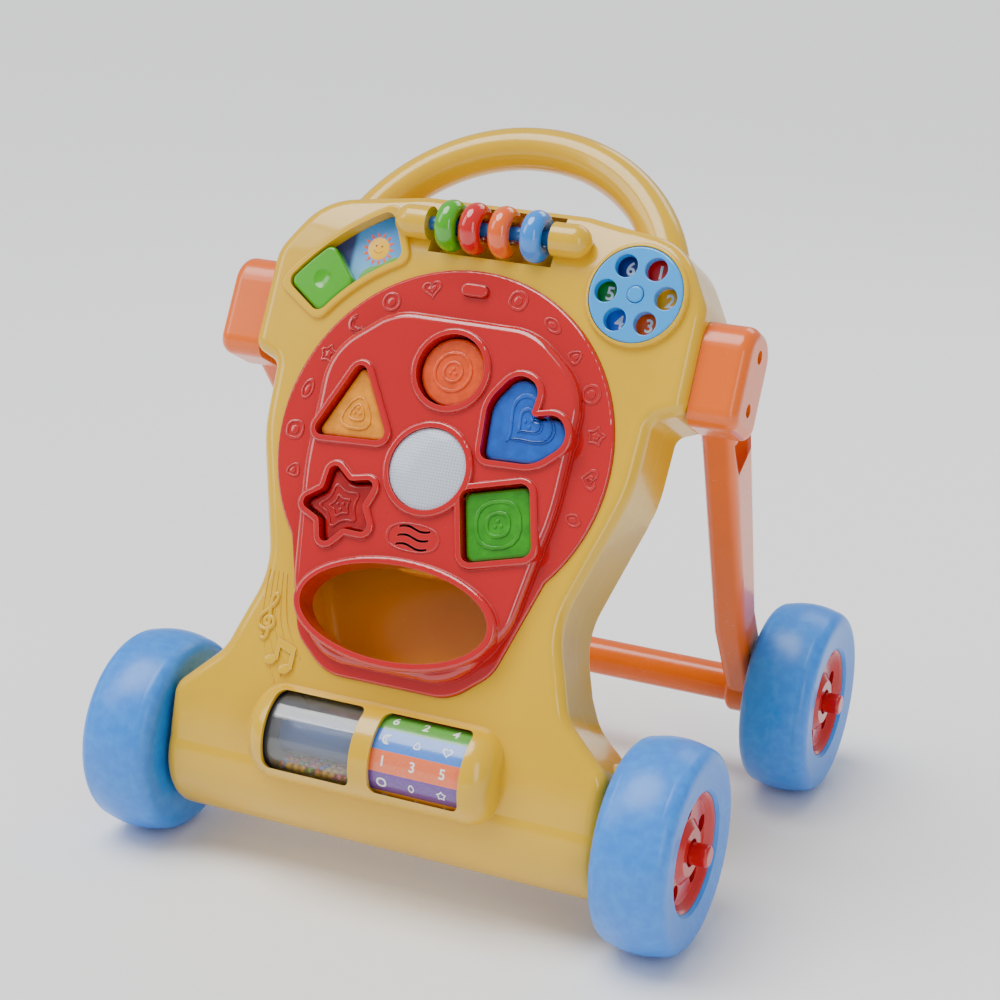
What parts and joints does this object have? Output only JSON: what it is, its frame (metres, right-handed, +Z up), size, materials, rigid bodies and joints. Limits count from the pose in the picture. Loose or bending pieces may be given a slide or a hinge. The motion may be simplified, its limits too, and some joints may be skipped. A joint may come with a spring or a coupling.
{
  "type": "baby walker",
  "caption": "Push-along baby walker: leaning toy panel with shape sorter, slider, rings, dial and rollers, arched handle, chunky wheels and rear legs.",
  "frame": {"origin": "on the floor, under the middle of the bounding box", "axes": "+Z up, the toy panel faces -Y, the child stands at +Y, +X is to the right seen from the panel's front"},
  "size_m": [0.445, 0.432, 0.4916],
  "materials": {
    "yellow_shell": "glossy moulded",
    "red_panel": "high gloss moulded",
    "bin_amber": "glossy moulded",
    "orange_leg": "semi-gloss moulded",
    "blue_tyre": "semi-gloss moulded",
    "red_hub": "glossy moulded",
    "light_blue": "glossy moulded",
    "green_part": "glossy moulded",
    "orange_part": "glossy moulded",
    "yellow_part": "glossy moulded",
    "blue_part": "glossy moulded",
    "rod_blue": "glossy moulded",
    "lens_white": "translucent, textured",
    "clear_drum": "clear moulded plastic",
    "drum_core": "satin",
    "drum_caps": "satin",
    "striped_print": "printed and lacquered",
    "bead_mix": "glossy beads",
    "printed_card": "printed card",
    "number_print": "printed",
    "steel": "drawn rod",
    "screw_steel": "zinc plated",
    "white_plastic": "satin",
    "dark_plastic": "satin",
    "board_green": "solder mask",
    "lamp_clear": "clear lamp",
    "cell_wrap": "plastic sleeve"
  },
  "bodies": {
    "walker_frame": {"front_shell": "yellow_shell", "back_shell": "yellow_shell", "shell_screws": "screw_steel", "sorter_panel": "red_panel", "panel_clip": "red_panel", "sorter_bin": "bin_amber", "sound_box": "dark_plastic", "circuit_board": "board_green", "board_lamps": "lamp_clear", "speaker": "dark_plastic", "number_plate": "number_print", "dial_screw": "light_blue", "picture_card": "printed_card", "ring_rod": "rod_blue", "roller_axle": "steel", "rattle_beads": "bead_mix", "front_axle": "steel", "rear_axle": "steel", "axle_bushes": "white_plastic", "axle_caps": "red_hub", "left_leg": "orange_leg", "right_leg": "orange_leg", "leg_screws": "screw_steel", "rear_crossbar": "orange_leg", "battery_box": "dark_plastic", "battery_cells": "cell_wrap", "battery_contacts": "steel"},
    "front_left_wheel": {"front_left_tyre": "blue_tyre", "front_left_hub": "red_hub"},
    "front_right_wheel": {"front_right_tyre": "blue_tyre", "front_right_hub": "red_hub"},
    "rear_left_wheel": {"rear_left_tyre": "blue_tyre", "rear_left_hub": "red_hub"},
    "rear_right_wheel": {"rear_right_tyre": "blue_tyre", "rear_right_hub": "red_hub"},
    "bead_roller": {"bead_drum": "clear_drum", "bead_drum_core": "drum_core", "bead_drum_caps": "drum_caps"},
    "striped_roller": {"striped_drum": "striped_print"},
    "dial_body": {"dial": "light_blue"},
    "slider_body": {"picture_slider": "green_part"},
    "ring_green_body": {"ring_green": "green_part"},
    "ring_red_body": {"ring_red": "red_hub"},
    "ring_orange_body": {"ring_orange": "orange_part"},
    "ring_blue_body": {"ring_blue": "light_blue"},
    "button_body": {"light_button": "lens_white"},
    "triangle_block_body": {"block_triangle": "yellow_part"},
    "circle_block_body": {"block_circle": "orange_part"},
    "heart_block_body": {"block_heart": "blue_part"},
    "square_block_body": {"block_square": "green_part"},
    "star_block_body": {"block_star": "red_hub"},
    "battery_door_body": {"battery_door": "yellow_shell", "door_screw": "screw_steel"},
    "switch_body": {"power_switch": "dark_plastic"}
  },
  "joints": [
    {"name": "front_left_wheel_spin", "type": "hinge", "parent": "walker_frame", "child": "front_left_wheel", "pos_m": [-0.189, -0.145, 0.071], "axis": [1, 0, 0], "continuous": true},
    {"name": "front_right_wheel_spin", "type": "hinge", "parent": "walker_frame", "child": "front_right_wheel", "pos_m": [0.189, -0.145, 0.071], "axis": [1, 0, 0], "continuous": true},
    {"name": "rear_left_wheel_spin", "type": "hinge", "parent": "walker_frame", "child": "rear_left_wheel", "pos_m": [-0.189, 0.145, 0.071], "axis": [1, 0, 0], "continuous": true},
    {"name": "rear_right_wheel_spin", "type": "hinge", "parent": "walker_frame", "child": "rear_right_wheel", "pos_m": [0.189, 0.145, 0.071], "axis": [1, 0, 0], "continuous": true},
    {"name": "bead_roller_spin", "type": "hinge", "parent": "walker_frame", "child": "bead_roller", "pos_m": [-0.037, -0.17659, 0.10672], "axis": [1, 0, 0], "continuous": true},
    {"name": "striped_roller_spin", "type": "hinge", "parent": "walker_frame", "child": "striped_roller", "pos_m": [0.037, -0.17659, 0.10672], "axis": [1, 0, 0], "continuous": true},
    {"name": "dial_turn", "type": "hinge", "parent": "walker_frame", "child": "dial_body", "pos_m": [0.1124, -0.0503, 0.40672], "axis": [0, -0.8988, 0.4384], "continuous": true},
    {"name": "picture_slide", "type": "hinge", "parent": "walker_frame", "child": "slider_body", "pos_m": [0, -0.09887, 0.29801], "axis": [0, -0.8988, 0.4384], "range_deg": [-16, 0]},
    {"name": "ring_green_slide", "type": "slide", "parent": "walker_frame", "child": "ring_green_body", "axis": [1, 0, 0], "range_m": [-0.0077, 0.0022]},
    {"name": "ring_red_slide", "type": "slide", "parent": "walker_frame", "child": "ring_red_body", "axis": [1, 0, 0], "range_m": [0, 0.0063]},
    {"name": "ring_orange_slide", "type": "slide", "parent": "walker_frame", "child": "ring_orange_body", "axis": [1, 0, 0], "range_m": [0, 0.0078]},
    {"name": "ring_blue_slide", "type": "slide", "parent": "walker_frame", "child": "ring_blue_body", "axis": [1, 0, 0], "range_m": [0, 0.0052]},
    {"name": "button_press", "type": "slide", "parent": "walker_frame", "child": "button_body", "axis": [0, 0.8988, -0.4384], "range_m": [0, 0.0025], "stiffness_N_per_m": 600, "springref_m": -0.001},
    {"name": "triangle_block_slide", "type": "slide", "parent": "walker_frame", "child": "triangle_block_body", "axis": [0, -0.8988, 0.4384], "range_m": [-0.03, 0.06]},
    {"name": "circle_block_slide", "type": "slide", "parent": "walker_frame", "child": "circle_block_body", "axis": [0, -0.8988, 0.4384], "range_m": [-0.03, 0.06]},
    {"name": "heart_block_slide", "type": "slide", "parent": "walker_frame", "child": "heart_block_body", "axis": [0, -0.8988, 0.4384], "range_m": [-0.03, 0.06]},
    {"name": "square_block_slide", "type": "slide", "parent": "walker_frame", "child": "square_block_body", "axis": [0, -0.8988, 0.4384], "range_m": [-0.03, 0.06]},
    {"name": "star_block_slide", "type": "slide", "parent": "walker_frame", "child": "star_block_body", "axis": [0, -0.8988, 0.4384], "range_m": [-0.03, 0.06]},
    {"name": "battery_door_off", "type": "slide", "parent": "walker_frame", "child": "battery_door_body", "axis": [0, 0.8988, -0.4384], "range_m": [0, 0.04]},
    {"name": "power_switch_slide", "type": "slide", "parent": "walker_frame", "child": "switch_body", "axis": [1, 0, 0], "range_m": [-0.003, 0.003]}
  ]
}
